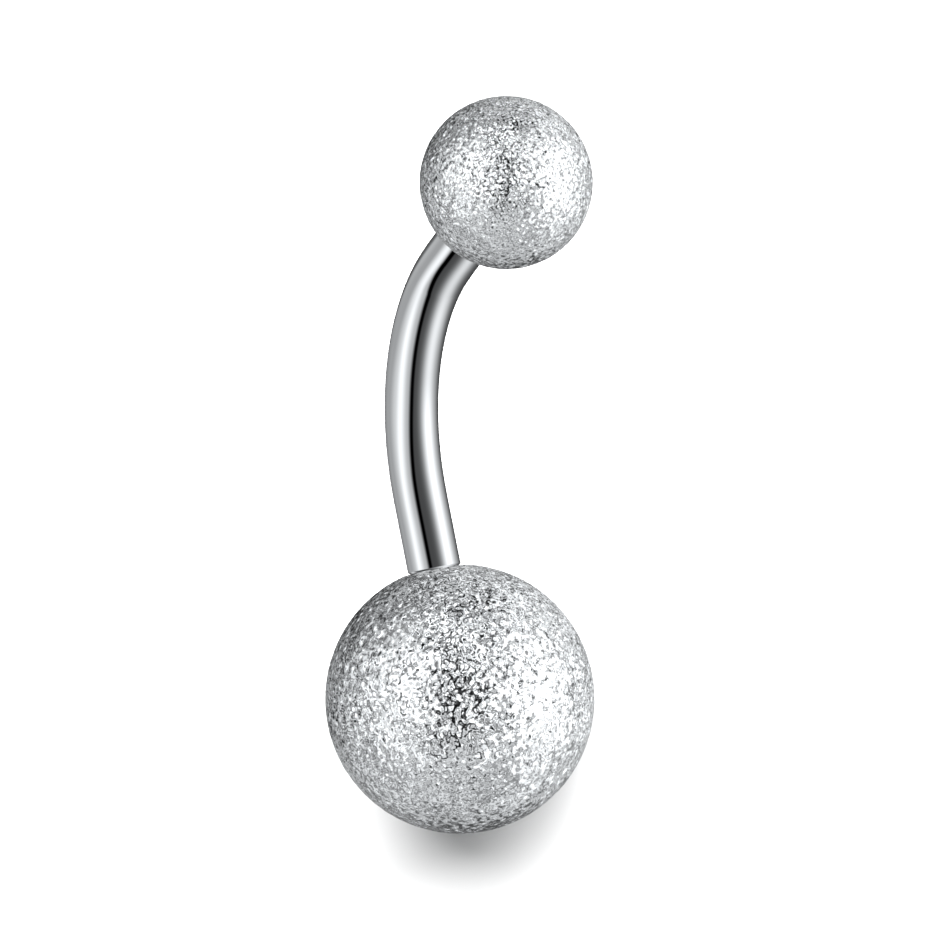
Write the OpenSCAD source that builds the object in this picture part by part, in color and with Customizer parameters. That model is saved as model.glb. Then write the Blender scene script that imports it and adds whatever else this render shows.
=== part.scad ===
// Navel ring: a curved polished bar with a small frosted ball on its upper end and a large one on its lower end.
// Worn, the bar passes through the skin and the balls stop it on both sides. The upper ball unscrews.
// The ring lies on its side as it rests by itself: on both balls and on the outside of the bend.
// Lengths are in millimetres. The origin is on the floor, under the middle of the box round the ring.

/* [Bar] */
// Diameter of the bar, 14 gauge
bar_d = 1.6; // [1.2:0.1:2]
// Radius of the bend, to the bar's centre line
bend_r = 7; // [6:0.25:9]
// Angle that the bar is bent through
bend_angle = 68; // [50:1:80]
// Length of the straight end between the bend and each ball
end_l = 2.2; // [1:0.1:4]
// Bevel round the edge of each shoulder of the bar
shoulder_bevel = 0.05; // [0.02:0.01:0.1]

/* [Balls] */
// Diameter of the small upper ball
upper_d = 5; // [4:0.25:6]
// Diameter of the large lower ball
lower_d = 8; // [6:0.25:10]
// Diameter of the flat on each ball where the bar meets it
seat_d = 1.86; // [1.7:0.02:2.4]
// Gap between a shoulder of the bar and its ball
seat_gap = 0.02; // [0.01:0.01:0.05]

/* [Posts] */
// Diameter of the plain post on each end of the bar, inside its ball
post_d = 1.2; // [0.9:0.1:1.3]
// Length of each post from its shoulder
post_l = 2.6; // [1.5:0.1:3]
// Bevel round the tip of each post
post_bevel = 0.15; // [0.05:0.05:0.3]
// Room round each post in its ball's hole
post_clearance = 0.05; // [0.02:0.01:0.1]
// Room past the tip of each post in its ball's hole
tip_clearance = 0.4; // [0.2:0.1:0.6]

/* [Hidden] */
$fn = 96;

bar_radius = bar_d / 2;
upper_r = upper_d / 2;
lower_r = lower_d / 2;
half_bend = bend_angle / 2;
hole_depth = post_l + tip_clearance;

// Distance from a ball's centre to its flat
function seat_height(ball_r) = sqrt(ball_r * ball_r - seat_d * seat_d / 4);

// The bend's own plane: its centre at the origin, the outside of the bend towards +X, the upper ball towards +Y.
// Side is 1 at the upper end and -1 at the lower one.
function end_axis(side) = [-sin(half_bend), side * cos(half_bend)];
function bend_end(side) = bend_r * [cos(half_bend), side * sin(half_bend)];
function ball_centre(side, ball_r) =
    bend_end(side) + (end_l + seat_gap + seat_height(ball_r)) * end_axis(side);

upper_centre = ball_centre(1, upper_r);
lower_centre = ball_centre(-1, lower_r);

// The line from the lower ball's centre to the upper one's, and the direction from it to the outside of the bend
centres = upper_centre - lower_centre;
span = norm(centres);
along = centres / span;
outward = [along.y, -along.x];

// At rest both balls touch the floor, so the line of centres slopes by the difference of their radii.
slope = (lower_r - upper_r) / span;
pitch = asin(slope);

// The outside of the bend touches the floor as well. With the direction straight down as slope * along +
// reach * outward, plus a part across the bend's plane, this gives a quadratic equation for reach.
// A flat bend doesn't reach the floor: then it hangs straight down between the balls, and lean is 0.
bend_along = -lower_centre * along;
bend_outward = -lower_centre * outward;
drop = lower_r - bar_radius - slope * bend_along;
quad_a = bend_r * bend_r - bend_outward * bend_outward;
quad_b = 2 * drop * bend_outward;
quad_c = bend_r * bend_r * slope * slope - drop * drop;
reach = (sqrt(quad_b * quad_b - 4 * quad_a * quad_c) - quad_b) / (2 * quad_a);
lean = acos(min(1, reach / cos(pitch)));

// The box round the ring as it lies: the outside of the bend can stand out past the lower ball.
box_middle_x = (span * cos(pitch) + upper_r - lower_r) / 2;
bend_side = sin(lean) * (bend_outward + bend_r) + bar_radius;
box_middle_y = (max(lower_r, bend_side) - lower_r) / 2;

// Lays the ring down: the line of centres along X, the outside of the bend leaning from straight down towards +Y
module lay_down() {
    translate([-box_middle_x, -box_middle_y, lower_r])
        rotate([0, pitch, 0])
            rotate([90 + lean, 0, 0])
                rotate([0, 0, -atan2(along.y, along.x)])
                    translate([-lower_centre.x, -lower_centre.y, 0])
                        children();
}

// Puts its children on one end of the bend, with +Z along that end towards its ball
module at_end(side) {
    rotate([0, 0, side * half_bend])
        translate([bend_r, 0, 0])
            rotate([-side * 90, 0, 0])
                children();
}

// A round rod along +Z whose far edge is bevelled
module bevelled_rod(r, length, bevel) {
    cylinder(r = r, h = length - bevel);
    translate([0, 0, length - bevel])
        cylinder(r1 = r, r2 = r - bevel, h = bevel);
}

// The bent bar with its straight ends and the posts that carry the balls, one solid
module bar() {
    color("silver")
        lay_down() {
            rotate_extrude(angle = bend_angle, start = -half_bend)
                translate([bend_r, 0])
                    circle(d = bar_d);
            for (side = [-1, 1])
                at_end(side) {
                    bevelled_rod(bar_radius, end_l, shoulder_bevel);
                    bevelled_rod(post_d / 2, end_l + post_l, post_bevel);
                }
        }
}

// A ball with a flat seat and a blind hole for its post. Its centre is at the origin and the flat faces -Z.
module drilled_ball(ball_r) {
    seat = seat_height(ball_r);
    difference() {
        sphere(r = ball_r);
        translate([0, 0, -seat - ball_r])
            cylinder(r = ball_r, h = ball_r);
        translate([0, 0, -seat - seat_gap])
            cylinder(d = post_d + 2 * post_clearance, h = hole_depth + seat_gap);
    }
}

// Puts a drilled ball on one end of the bar
module seated_ball(side, ball_r) {
    lay_down()
        at_end(side)
            translate([0, 0, end_l + seat_gap + seat_height(ball_r)])
                drilled_ball(ball_r);
}

module upper_ball() {
    color("gainsboro")
        seated_ball(1, upper_r);
}

module lower_ball() {
    color("gainsboro")
        seated_ball(-1, lower_r);
}

bar();
upper_ball();
lower_ball();
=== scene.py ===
import math

import bpy
from mathutils import Matrix, Vector


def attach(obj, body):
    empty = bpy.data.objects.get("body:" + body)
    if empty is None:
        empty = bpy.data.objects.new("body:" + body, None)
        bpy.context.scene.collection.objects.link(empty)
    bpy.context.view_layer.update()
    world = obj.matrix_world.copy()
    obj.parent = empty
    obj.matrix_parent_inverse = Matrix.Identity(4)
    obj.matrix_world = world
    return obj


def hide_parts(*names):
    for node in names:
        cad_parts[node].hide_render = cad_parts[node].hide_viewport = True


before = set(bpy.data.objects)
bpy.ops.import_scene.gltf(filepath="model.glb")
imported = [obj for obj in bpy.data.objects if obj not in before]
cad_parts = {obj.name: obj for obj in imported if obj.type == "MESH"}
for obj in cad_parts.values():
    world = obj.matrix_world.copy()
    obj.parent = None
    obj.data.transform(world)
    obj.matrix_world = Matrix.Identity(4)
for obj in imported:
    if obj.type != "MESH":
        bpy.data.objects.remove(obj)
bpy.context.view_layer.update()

# Pieces are made in millimetres, as the drawing has them, with the middle of the bend's circle
# at the origin. Lying down brings them to metres on the floor.
MM = 0.001

# The bar, with a straight end and a post on each side of its bend
BAR_D = 1.6
BEND_R = 7.0
BEND_ANGLE = math.radians(68)
END_L = 2.2
SHOULDER_BEVEL = 0.05
POST_D = 1.2
POST_L = 2.6
POST_BEVEL = 0.15

# The balls, each with a flat seat for the shoulder and a hole for the post
UPPER_R = 2.5
LOWER_R = 4.0
SEAT_D = 1.86
SEAT_GAP = 0.02
POST_CLEARANCE = 0.05
TIP_CLEARANCE = 0.4
BORE_DEPTH = POST_L - SEAT_GAP + TIP_CLEARANCE

# The small ball's side of the bend and the large ball's
UPPER, LOWER = 1, -1


def on_bend(side, angle):
    """The place on the bend's circle at this angle from its middle, on this side."""
    return BEND_R * Vector((math.cos(angle), side * math.sin(angle), 0))


def heading(side, angle):
    """The way the bar runs to this side's ball where it has turned by this angle."""
    return Vector((-math.sin(angle), side * math.cos(angle), 0))


def end_direction(side):
    """The way the straight end points into its ball."""
    return heading(side, BEND_ANGLE / 2)


def on_straight(side, length):
    """The place on the straight end at this length from the bend."""
    return on_bend(side, BEND_ANGLE / 2) + length * end_direction(side)


def seat_height(ball_r):
    """How far the flat seat lies from the ball's middle."""
    return math.sqrt(ball_r**2 - (SEAT_D / 2) ** 2)


def ball_middle(side, ball_r):
    """The middle of a seated ball."""
    return on_straight(side, END_L) + (SEAT_GAP + seat_height(ball_r)) * end_direction(side)


def lying_down():
    """From the drawing to how the ring lies by itself, on both balls and the bend."""
    upper, lower = ball_middle(UPPER, UPPER_R), ball_middle(LOWER, LOWER_R)
    span = (upper - lower).length
    along = (upper - lower) / span
    outward = Vector((along.y, -along.x, 0))
    bend_along, bend_outward = -lower.dot(along), -lower.dot(outward)

    # Each millimetre along leads down by slope, and each millimetre outward by dip. The dip is
    # the root of a square equation, which says that the bend's outside touches the floor.
    slope = (LOWER_R - UPPER_R) / span
    drop = LOWER_R - BAR_D / 2 - slope * bend_along
    squared = BEND_R**2 - bend_outward**2
    linear = 2 * drop * bend_outward
    constant = (BEND_R * slope) ** 2 - drop**2
    dip = (math.sqrt(linear * linear - 4 * squared * constant) - linear) / (2 * squared)
    pitch = math.asin(slope)
    lean = math.acos(min(1, dip / math.cos(pitch)))

    # The middle of the lying ring, seen from above, comes to the origin.
    middle_x = (span * math.cos(pitch) + UPPER_R - LOWER_R) / 2
    bend_side = math.sin(lean) * (bend_outward + BEND_R) + BAR_D / 2
    middle_y = (max(LOWER_R, bend_side) - LOWER_R) / 2
    return (
        Matrix.Scale(MM, 4)
        @ Matrix.Translation((-middle_x, -middle_y, LOWER_R))
        @ Matrix.Rotation(pitch, 4, "Y")
        @ Matrix.Rotation(math.pi / 2 + lean, 4, "X")
        @ Matrix.Rotation(-math.atan2(along.y, along.x), 4, "Z")
        @ Matrix.Translation(-lower)
    )


LYING = lying_down()
BEND_OUTWARD, BEND_ALONG, BEND_NORMAL = (axis.normalized() for axis in LYING.to_3x3().col)


# The nodes of a finish or of the studio's light


class Amount:
    """A number that changes over a surface. Arithmetic on it adds Math nodes."""

    def __init__(self, nodes, socket):
        self.nodes, self.socket = nodes, socket

    def __add__(self, other):
        return self.nodes.number("ADD", self, other)

    def __sub__(self, other):
        return self.nodes.number("SUBTRACT", self, other)

    def __rsub__(self, other):
        return self.nodes.number("SUBTRACT", other, self)

    def __mul__(self, other):
        return self.nodes.number("MULTIPLY", self, other)

    def __truediv__(self, other):
        return self.nodes.number("DIVIDE", self, other)

    def __pow__(self, other):
        return self.nodes.number("POWER", self, other)

    def __neg__(self):
        return 0 - self

    def __abs__(self):
        return self.nodes.number("ABSOLUTE", self)

    __radd__ = __add__
    __rmul__ = __mul__

    def at_most(self, other):
        return self.nodes.number("MINIMUM", self, other)

    def at_least(self, other):
        return self.nodes.number("MAXIMUM", self, other)

    def hump(self, middle, width):
        """1 at the middle, falling off softly at about width from it."""
        off = (self - middle) / width
        return self.nodes.number("EXPONENT", off * off * -1)

    def step(self, low, high):
        """0 below low, 1 above high, smooth between."""
        settings = {"interpolation_type": "SMOOTHSTEP"}
        values = {"Value": self, "From Min": low, "From Max": high}
        return self.nodes.add("ShaderNodeMapRange", settings, values)["Result"]


class Outputs:
    """The outputs of one node, by name."""

    def __init__(self, nodes, node):
        self.nodes, self.node = nodes, node

    def __getitem__(self, name):
        return Amount(self.nodes, self.node.outputs[name])


class Nodes:
    """The node tree of one finish, or of the light tent."""

    def __init__(self, tree):
        self.tree = tree
        tree.nodes.clear()

    def add(self, kind, settings=None, values=None):
        node = self.tree.nodes.new(kind)
        for name, value in (settings or {}).items():
            setattr(node, name, value)
        for name, value in (values or {}).items():
            if isinstance(value, Amount):
                self.tree.links.new(value.socket, node.inputs[name])
            else:
                node.inputs[name].default_value = value
        return Outputs(self, node)

    def number(self, operation, *numbers):
        return self.add("ShaderNodeMath", {"operation": operation}, dict(enumerate(numbers)))["Value"]

    def vector(self, operation, *vectors):
        settings = {"operation": operation}
        return self.add("ShaderNodeVectorMath", settings, dict(enumerate(vectors)))["Vector"]

    def dot(self, vector, direction):
        settings = {"operation": "DOT_PRODUCT"}
        return self.add("ShaderNodeVectorMath", settings, {0: vector, 1: direction})["Value"]

    def scaled(self, vector, by):
        settings = {"operation": "SCALE"}
        return self.add("ShaderNodeVectorMath", settings, {0: vector, "Scale": by})["Vector"]

    def noise(self, place, scale, detail):
        values = {"Vector": place, "Scale": scale, "Detail": detail}
        return self.add("ShaderNodeTexNoise", None, values)

    def principled(self, values):
        """Ends a finish in one shader with these values."""
        shader = self.add("ShaderNodeBsdfPrincipled", None, values)["BSDF"]
        self.add("ShaderNodeOutputMaterial", None, {"Surface": shader})


# The camera, where the photograph has it

CAMERA_AIM = Vector((0.13, -0.23, 4.0)) * MM
CAMERA_AZIMUTH = math.radians(54.95)
CAMERA_ELEVATION = math.radians(52.99)
CAMERA_ROLL = math.radians(-135.84)
CAMERA_DISTANCE = 236.7 * MM
CAMERA_LENS = 306.78
SENSOR_WIDTH = 36
NEAREST_SEEN, FARTHEST_SEEN = 0.01, 20


def standing_axes(azimuth, elevation, roll):
    """Right, up and back of what looks at the ring from there. Azimuth runs from -Y to +X."""
    back = Vector((
        math.sin(azimuth) * math.cos(elevation),
        -math.cos(azimuth) * math.cos(elevation),
        math.sin(elevation),
    ))
    level = Vector((0, 0, 1)).cross(back).normalized()
    right = Matrix.Rotation(roll, 3, back) @ level
    return right, back.cross(right), back


def stand(name, data, aim, distance, axes):
    """Puts a camera or a lamp at this distance from its aim, turned as its axes say."""
    stood = bpy.data.objects.new(name, data)
    bpy.context.scene.collection.objects.link(stood)
    turn = Matrix(axes).transposed().to_4x4()
    stood.matrix_world = Matrix.Translation(aim + distance * axes[2]) @ turn
    return stood


VIEW_AXES = standing_axes(CAMERA_AZIMUTH, CAMERA_ELEVATION, CAMERA_ROLL)
VIEW_RIGHT, VIEW_UP, VIEW_BACK = VIEW_AXES


def set_camera():
    data = bpy.data.cameras.new("photo_camera")
    data.lens = CAMERA_LENS
    data.sensor_width = SENSOR_WIDTH
    data.clip_start = NEAREST_SEEN
    data.clip_end = FARTHEST_SEEN
    camera = stand("photo_camera", data, CAMERA_AIM, CAMERA_DISTANCE, VIEW_AXES)
    bpy.context.scene.camera = camera


# Shaping in edit mode

# Places nearer to each other than this are one place.
TOLERANCE = 1e-4
# The cosine above which a face counts as facing a direction
FACING = 0.999


def deselect_all():
    bpy.ops.object.select_all(action="DESELECT")


def pick(piece):
    """Selects this piece alone."""
    deselect_all()
    piece.select_set(True)
    bpy.context.view_layer.objects.active = piece


def start_edit(piece):
    """Goes into edit mode with no face selected."""
    pick(piece)
    bpy.ops.object.mode_set(mode="EDIT")
    bpy.ops.mesh.select_mode(type="FACE")
    bpy.ops.mesh.select_all(action="DESELECT")


def end_edit():
    bpy.ops.object.mode_set(mode="OBJECT")


def select_faces(piece, wanted):
    """Selects the faces for which wanted(middle, normal) holds. Called in edit mode."""
    bpy.ops.object.mode_set(mode="OBJECT")
    for polygon in piece.data.polygons:
        polygon.select = wanted(polygon.center, polygon.normal)
    bpy.ops.object.mode_set(mode="EDIT")


def select_all_faces():
    bpy.ops.mesh.select_all(action="SELECT")


def apply_modifier(piece, kind, **settings):
    pick(piece)
    modifier = piece.modifiers.new(kind.lower(), kind)
    for name, value in settings.items():
        setattr(modifier, name, value)
    bpy.ops.object.modifier_apply(modifier=modifier.name)


def apply_place():
    """Puts the selected piece's place and turn into its mesh."""
    bpy.ops.object.transform_apply(location=True, rotation=True, scale=True)


def move_to(piece, matrix):
    """Moves a piece and puts its new place into its mesh."""
    pick(piece)
    piece.matrix_world = matrix
    apply_place()


def named(name):
    """Names the piece that was just added."""
    piece = bpy.context.active_object
    piece.name = piece.data.name = name
    return piece


def push_out(vector):
    bpy.ops.mesh.extrude_region_move(TRANSFORM_OT_translate={"value": vector})


def turn_end(angle, middle):
    """Turns what is selected about the drawing's Z. With no window the operator takes it reversed."""
    bpy.ops.transform.rotate(value=-angle, orient_axis="Z", center_override=middle)


def narrow(factor, middle):
    bpy.ops.transform.resize(value=(factor, factor, factor), center_override=middle)


# The pieces

BAR_SIDES = 128
BEND_STEPS = 110
# The bend runs out into each straight end over twice this length.
EASE = 0.8
EASE_STEPS = 20
# What is left of the bend between them is round.
ROUND_ANGLE = BEND_ANGLE - 2 * EASE / BEND_R

BALL_CUTS = 97
# The frosted grain of the mesh, which fades out to the seat's edge
RELIEF_SIZE = 0.15
RELIEF_HEIGHT = 0.02
RELIEF_FADE = 0.12
SKIN_DEPTH = 0.01


def ease_out(side):
    """Draws the selected end on from the circle to the straight, and gives where it comes to."""
    step = 2 * EASE / EASE_STEPS
    angles = [ROUND_ANGLE / 2]
    for i in range(EASE_STEPS):
        angles.append(angles[-1] + step / BEND_R * (1 - (i + 0.5) / EASE_STEPS))
    bends = list(zip(angles, angles[1:]))
    moves = [step * heading(side, (before + after) / 2) for before, after in bends]
    at = on_bend(side, ROUND_ANGLE / 2)
    mend = (on_straight(side, EASE) - at - sum(moves, Vector())) / EASE_STEPS
    for move, (before, after) in zip(moves, bends):
        push_out(move + mend)
        at = at + move + mend
        turn_end(side * (after - before), at)
    return at


def make_end(piece, side):
    """Draws the open end of the bend out into its straight end, shoulder and post."""
    start, facing = on_bend(side, ROUND_ANGLE / 2), heading(side, ROUND_ANGLE / 2)

    def at_end(middle, normal):
        return normal.dot(facing) > FACING and (middle - start).dot(facing) > -TOLERANCE

    start_edit(piece)
    select_faces(piece, at_end)
    at = ease_out(side)
    bar_r, post_r = BAR_D / 2, POST_D / 2
    direction = end_direction(side)
    radius = bar_r
    for length, new_radius in [
        (END_L - EASE - SHOULDER_BEVEL, bar_r),
        (SHOULDER_BEVEL, bar_r - SHOULDER_BEVEL),
        (0, post_r),
        (POST_L - POST_BEVEL, post_r),
        (POST_BEVEL, post_r - POST_BEVEL),
    ]:
        push_out(length * direction)
        at = at + length * direction
        if new_radius != radius:
            narrow(new_radius / radius, at)
            radius = new_radius
    end_edit()


def make_bar():
    """Spins a disc round the bend and draws both its ends out."""
    deselect_all()
    bpy.ops.mesh.primitive_circle_add(
        vertices=BAR_SIDES,
        radius=BAR_D / 2,
        fill_type="NGON",
        location=on_bend(LOWER, ROUND_ANGLE / 2),
        rotation=(math.pi / 2, 0, -ROUND_ANGLE / 2),
    )
    piece = named("bent_bar")
    apply_place()
    start_edit(piece)
    select_all_faces()
    bpy.ops.mesh.spin(steps=BEND_STEPS, angle=-ROUND_ANGLE, center=(0, 0, 0), axis=(0, 0, 1))
    select_all_faces()
    bpy.ops.mesh.remove_doubles(threshold=TOLERANCE)
    bpy.ops.mesh.normals_make_consistent(inside=False)
    end_edit()
    make_end(piece, UPPER)
    make_end(piece, LOWER)
    return piece


def cut_seat(piece, seat):
    """Cuts the ball flat below the seat's middle, and sinks the hole for the post into it."""
    start_edit(piece)
    select_all_faces()
    bpy.ops.mesh.bisect(
        plane_co=seat,
        plane_no=(0, 0, 1),
        clear_inner=True,
        use_fill=True,
        threshold=TOLERANCE,
    )
    select_faces(piece, lambda middle, normal: normal.z < -FACING and middle.z < seat.z + TOLERANCE)
    push_out((0, 0, 0))
    narrow((POST_D / 2 + POST_CLEARANCE) / (SEAT_D / 2), seat)
    push_out((0, 0, BORE_DEPTH))
    end_edit()


def make_ball(name, side, ball_r):
    """A round ball with its flat seat and the hole for its post, on its side's post."""
    deselect_all()
    bpy.ops.mesh.primitive_ico_sphere_add(subdivisions=1, radius=ball_r)
    piece = named(name)
    start_edit(piece)
    select_all_faces()
    bpy.ops.mesh.subdivide(number_cuts=BALL_CUTS)
    end_edit()
    rounding = {"cast_type": "SPHERE", "factor": 1.0, "radius": ball_r, "use_radius_as_size": True}
    apply_modifier(piece, "CAST", **rounding)
    cut_seat(piece, Vector((0, 0, -seat_height(ball_r))))
    turn = Vector((0, 0, 1)).rotation_difference(end_direction(side)).to_matrix().to_4x4()
    move_to(piece, Matrix.Translation(ball_middle(side, ball_r)) @ turn)
    return piece


def roughen(piece, side, ball_r):
    """Raises the frosted grain, and keeps the seat and its hole smooth."""
    middle, direction = ball_middle(side, ball_r), end_direction(side)
    group = piece.vertex_groups.new(name="grain")
    weights = {}
    for vertex in piece.data.vertices:
        place = vertex.co - middle
        above_seat = place.dot(direction) + seat_height(ball_r)
        on_skin = place.length > ball_r - SKIN_DEPTH
        weight = min(1, max(0, above_seat / RELIEF_FADE)) if on_skin else 0
        weights.setdefault(round(weight, 1), []).append(vertex.index)
    for weight, found in weights.items():
        group.add(found, weight, "REPLACE")
    pattern = bpy.data.textures.new(piece.name + "_grain", "CLOUDS")
    pattern.noise_scale = RELIEF_SIZE
    pattern.noise_depth = 1
    apply_modifier(
        piece,
        "DISPLACE",
        texture=pattern,
        texture_coords="LOCAL",
        direction="NORMAL",
        strength=RELIEF_HEIGHT,
        mid_level=0.5,
        vertex_group="grain",
    )
    bpy.data.textures.remove(pattern)


def shade_smooth(piece, angle):
    """Shades a piece smooth, but for edges sharper than this angle in degrees."""
    pick(piece)
    bpy.ops.object.shade_smooth_by_angle(angle=math.radians(angle))


# The finishes

BAR_COLOUR = (0.66, 0.665, 0.673)
BALL_COLOUR = (0.71, 0.717, 0.726)
FLOOR_COLOUR = (0.7, 0.7, 0.7, 1)
# Grain sizes are given as noise scales, so a larger number is a finer grain.
CLOUD_SCALE = 900
SWAY_SCALE = 6300
GROOVE_SCALE = 3800
PATCH_SCALE = 4000
# How far the grain turns the mirror: at least this, and more where its noise is strong
SWAY_LEAST, SWAY_MORE, SWAY_LIMIT = 0.2, 30, 0.06
GROOVE_SHARPNESS = 28
GROOVE_DEPTH = 0.01 * MM


def new_finish(name):
    """An empty material, and its nodes."""
    finish = bpy.data.materials.new(name)
    finish.use_nodes = True
    return finish, Nodes(finish.node_tree)


def polished_steel():
    """A clean mirror. At a roughness of exactly 0 the light tent knows its rays from the balls'."""
    finish, nodes = new_finish("polished_steel")
    place = nodes.add("ShaderNodeTexCoord")["Object"]
    cloudy = nodes.noise(place, CLOUD_SCALE, 3)["Fac"]
    colour = nodes.scaled(BAR_COLOUR, 0.985 + 0.015 * cloudy)
    nodes.principled({"Base Color": colour, "Metallic": 1.0, "Roughness": 0.0})
    return finish


def frosted_steel(name, fineness, shaded_groove_tone, roughness):
    """Grain that turns the mirror a little at each place, with grooves here and there, darkened by
    painted shade in the base colour.
    """
    finish, nodes = new_finish(name)
    place = nodes.add("ShaderNodeTexCoord")["Object"]
    wander = nodes.noise(place, SWAY_SCALE * fineness, 0.3)["Color"]
    sway = nodes.vector("SUBTRACT", wander, (0.5, 0.5, 0.5))
    sway = nodes.scaled(sway, SWAY_LEAST + SWAY_MORE * nodes.dot(sway, sway).at_most(SWAY_LIMIT))

    # Level is 1 on the open surface and 0 in a groove.
    waves = nodes.noise(place, GROOVE_SCALE * fineness, 1.5)["Fac"]
    patches = nodes.noise(place, PATCH_SCALE * fineness, 1)["Fac"]
    groove = 1 - (abs(waves - 0.5) * GROOVE_SHARPNESS).at_most(1)
    level = 1 - groove * patches.step(0.5, 0.56)

    depth = {"Strength": 1.0, "Distance": GROOVE_DEPTH, "Height": level}
    bump = nodes.add("ShaderNodeBump", None, depth)["Normal"]
    # The base colour is darker in the grooves: painted shade of the grooves' walls, not a colour of
    # the steel.
    nodes.principled({
        "Base Color": nodes.scaled(BALL_COLOUR, shaded_groove_tone + (1 - shaded_groove_tone) * level),
        "Metallic": 1.0,
        "Roughness": roughness,
        "Normal": nodes.vector("NORMALIZE", nodes.vector("ADD", bump, sway)),
    })
    return finish


def floor_paper():
    finish, nodes = new_finish("floor_paper")
    nodes.principled({"Base Color": FLOOR_COLOUR, "Roughness": 0.9, "Specular IOR Level": 0.0})
    return finish


def dress(piece, finish):
    piece.data.materials.clear()
    piece.data.materials.append(finish)


# The studio: a floor, a light tent and the lamp for the large ball's shadow

FLOOR_SIZE = 3.0

COOL_WHITE = (0.98, 1.0, 1.013, 1)
# The tent's light on all that isn't a mirror
PLAIN_LIGHT = 0.29

# What the bar shows of the tent: a panel's middle and width across the bar, from -1 on its left
# to 1 on its right, where the light fades out to the dark line, and where the upper end of the
# bend begins, in radians from the bend's middle.
BAR_LEFT_PANEL = (-0.40, 0.17)
BAR_RIGHT_PANEL = (0.60, 0.22)
DARK_LINE = (-0.13, -0.01)
UPPER_END = (0.25, 0.6)

# What the balls show of it: how light a patch is, then its middle and width to the photo's
# right, then its middle and width upwards.
LEFT_PANEL = (1.95, (-0.43, 0.25), (0.17, 0.43))
RIGHT_PANEL = (1.85, (0.53, 0.25), (0.08, 0.46))
MIDDLE_PANEL = (0.3, (-0.19, 0.13), (0.28, 0.2))
WALL_PATCH = (1.35, (-0.11, 0.17), (0.5, 0.17))
TOP_PATCH = (0.62, (0.2, 0.4), (1, 0.13))
UPPER_GAP = (0.78, (0.18, 0.1), (0.64, 0.16))
CORNER, CORNER_WIDTH = 0.62, 0.5
WALL_LIGHT = 0.68
CLUTTER_SCALE = 8

LAMP_POWER = 85
LAMP_DISTANCE = 1.0
LAMP_AZIMUTH = math.radians(72.1)
LAMP_ELEVATION = math.radians(26.3)
LAMP_ROLL = math.radians(-125.6)
# The angles that the lamp takes up, seen from the ring
LAMP_WIDTH = math.radians(65.7)
LAMP_HEIGHT = math.radians(41.8)


def make_floor():
    deselect_all()
    bpy.ops.mesh.primitive_plane_add(size=FLOOR_SIZE, location=(0, 0, 0))
    floor = named("studio_floor")
    floor.visible_glossy = False
    dress(floor, floor_paper())
    return floor


def bar_light(nodes, normal, rim):
    """What the bar's mirror shows where the bar's surface faces along normal.

    Across is that place's distance from the bar's middle line, from -1 on the left to 1 on the
    right, and toward_lower is its angle round the bend.
    """
    sine = nodes.dot(normal, BEND_NORMAL)
    cosine = (1 - sine * sine).at_least(1e-6) ** 0.5
    back_sine = VIEW_BACK.dot(BEND_NORMAL)
    back_cosine = (nodes.dot(normal, VIEW_BACK) - sine * back_sine) / cosine
    across = sine * back_cosine - cosine * back_sine
    across = across / (back_cosine * back_cosine + back_sine**2) ** 0.5
    inward = nodes.dot(normal, -BEND_OUTWARD)
    toward_lower = nodes.number("ARCTAN2", nodes.dot(normal, BEND_ALONG), inward)
    toward_upper = -toward_lower

    # The dark line and the left panel lie further left at both ends of the bend.
    upper_end = toward_upper.step(*UPPER_END)
    shifted = across + 0.14 * toward_lower.step(0.09, 0.63) + 0.055 * toward_upper.step(0.45, 0.6)
    left = 0.63 + (0.95 - 0.35 * upper_end) * shifted.hump(*BAR_LEFT_PANEL)
    left = left * (1 - (shifted + 0.03 * upper_end).step(*DARK_LINE))
    right = 1.12 + 0.5 * toward_lower.step(0, 0.3) - 0.24 * upper_end
    right = right * across.hump(*BAR_RIGHT_PANEL)
    front = left + right + 0.09 * shifted.step(0.05, 0.12) + 0.1 * across.step(0.3, 0.6)

    # Where the surface looks away from the bend's plane it shows the tent's side.
    side = 0.52 + 0.75 * cosine.step(0.05, 0.6)
    side = side + 0.6 * toward_upper.hump(0.6, 0.3) * cosine.step(0.02, 0.3)
    shown = side + (front - side) * cosine.step(0.3, 0.5)
    return shown * (1 - 0.7 * rim.step(0.88, 1.0))


def ball_light(nodes, normal, right, up, rim):
    """What the frosted balls show where their surface faces along normal."""

    def patch(light, across, upward):
        return light * right.hump(*across) * up.hump(*upward)

    below = -up
    corner_right, corner_up = right + CORNER, up - CORNER
    corner = (corner_right * corner_right + corner_up * corner_up) ** 0.5
    corner = corner.hump(0, CORNER_WIDTH)
    panels = patch(*LEFT_PANEL) * (1 - 0.55 * corner) + patch(*RIGHT_PANEL) + patch(*MIDDLE_PANEL)

    clutter = nodes.noise(normal, CLUTTER_SCALE, 0)["Fac"].step(0.46, 0.54)
    clutter = 1 + 2.0 * (clutter - 0.5) * (1 - 0.5 * below.step(0.1, 0.6))
    walls = (WALL_LIGHT + patch(*WALL_PATCH)) * (1 - 0.4 * (-right).step(0.72, 0.95))
    walls = walls * clutter * (1 - 0.75 * corner)

    gap = right.hump(-0.04, 0.085) * up.step(-0.5, -0.3) * (1 - up.step(0.3, 0.5))
    gap = gap.at_least(patch(*UPPER_GAP))
    shown = (panels + walls) * (1 - gap) + 0.27 * right.hump(1, 0.25) + patch(*TOP_PATCH)
    return shown * (1 - 0.5 * rim.step(0.9, 1.0)) * (1 - 0.5 * below.step(0.75, 0.95))


def tent_white(nodes, strength):
    values = {"Color": COOL_WHITE, "Strength": strength}
    return nodes.add("ShaderNodeBackground", None, values)["Background"]


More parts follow.
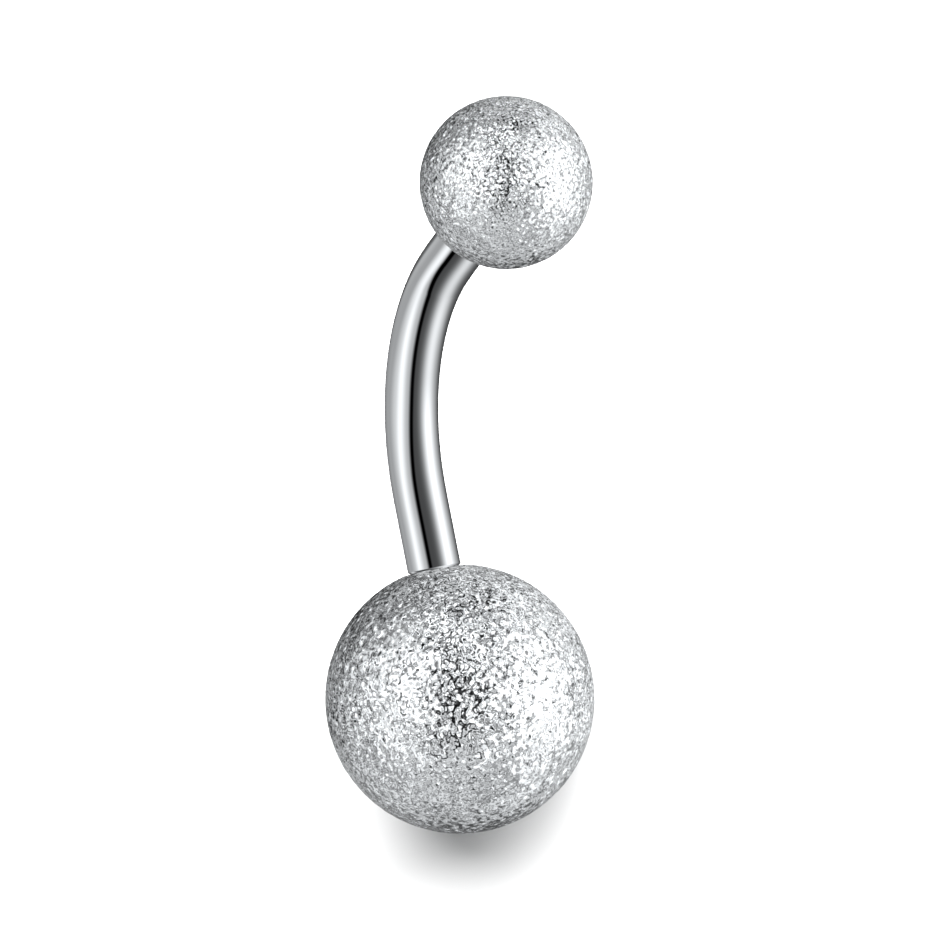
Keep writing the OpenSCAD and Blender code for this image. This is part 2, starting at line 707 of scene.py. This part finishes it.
def light_studio():
    """A light tent: mirror rays see its panels and walls, and all others its plain light.

    The normal is the way a mirror faces that sends such a ray on to the camera, so each place
    in the tent is known by the place on the ring that shows it.
    """
    world = bpy.data.worlds.new("light_tent")
    bpy.context.scene.world = world
    world.use_nodes = True
    nodes = Nodes(world.node_tree)
    toward = nodes.add("ShaderNodeTexCoord")["Generated"]
    normal = nodes.vector("NORMALIZE", nodes.vector("ADD", toward, VIEW_BACK))
    right, up = nodes.dot(normal, VIEW_RIGHT), nodes.dot(normal, VIEW_UP)
    rim = (right * right + up * up) ** 0.5

    ray = nodes.add("ShaderNodeLightPath")
    on_balls = ball_light(nodes, normal, right, up, rim)
    on_bar = bar_light(nodes, normal, rim)
    mirrored = on_balls + (on_bar - on_balls) * ray["Is Singular Ray"]
    plain, glow = tent_white(nodes, PLAIN_LIGHT), tent_white(nodes, mirrored)
    mixed = nodes.add("ShaderNodeMixShader", None, {0: ray["Is Glossy Ray"], 1: plain, 2: glow})
    nodes.add("ShaderNodeOutputWorld", None, {"Surface": mixed["Shader"]})
    bpy.context.scene.view_settings.view_transform = "Standard"


def linked(name, piece):
    collection = bpy.data.collections.new(name)
    collection.objects.link(piece)
    return collection


def shadow_light(floor, large_ball):
    """Throws the large ball's soft shadow on the floor, and shines on nothing else."""
    data = bpy.data.lights.new("shadow_light", "AREA")
    data.energy = LAMP_POWER
    data.shape = "ELLIPSE"
    data.size = 2 * LAMP_DISTANCE * math.tan(LAMP_WIDTH / 2)
    data.size_y = 2 * LAMP_DISTANCE * math.tan(LAMP_HEIGHT / 2)
    axes = standing_axes(LAMP_AZIMUTH, LAMP_ELEVATION, LAMP_ROLL)
    lamp = stand("shadow_light", data, Vector(), LAMP_DISTANCE, axes)
    lamp.visible_glossy = False
    lamp.light_linking.receiver_collection = linked("lit_by_it", floor)
    lamp.light_linking.blocker_collection = linked("in_its_way", large_ball)


set_camera()
floor = make_floor()
light_studio()

bar = make_bar()
upper_ball = make_ball("small_ball", UPPER, UPPER_R)
lower_ball = make_ball("large_ball", LOWER, LOWER_R)
roughen(upper_ball, UPPER, UPPER_R)
roughen(lower_ball, LOWER, LOWER_R)

polish = polished_steel()
frost = frosted_steel("frosted_steel", fineness=1, shaded_groove_tone=0.3, roughness=0.03)
fine_frost = frosted_steel("fine_frosted_steel", fineness=1.5, shaded_groove_tone=0.5, roughness=0.12)
for piece, finish, node, body, slot, angle in [
    (bar, polish, "bar", "bar", "polished_steel", 30),
    (upper_ball, fine_frost, "upper_ball", "upper_ball", "frosted_steel", 60),
    (lower_ball, frost, "lower_ball", "bar", "frosted_steel", 60),
]:
    move_to(piece, LYING)
    shade_smooth(piece, angle)
    dress(piece, finish)
    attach(piece, body)
    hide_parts(node)
# Neither shows in the other pieces' mirror, as in the photograph.
bar.visible_glossy = lower_ball.visible_glossy = False
shadow_light(floor, lower_ball)
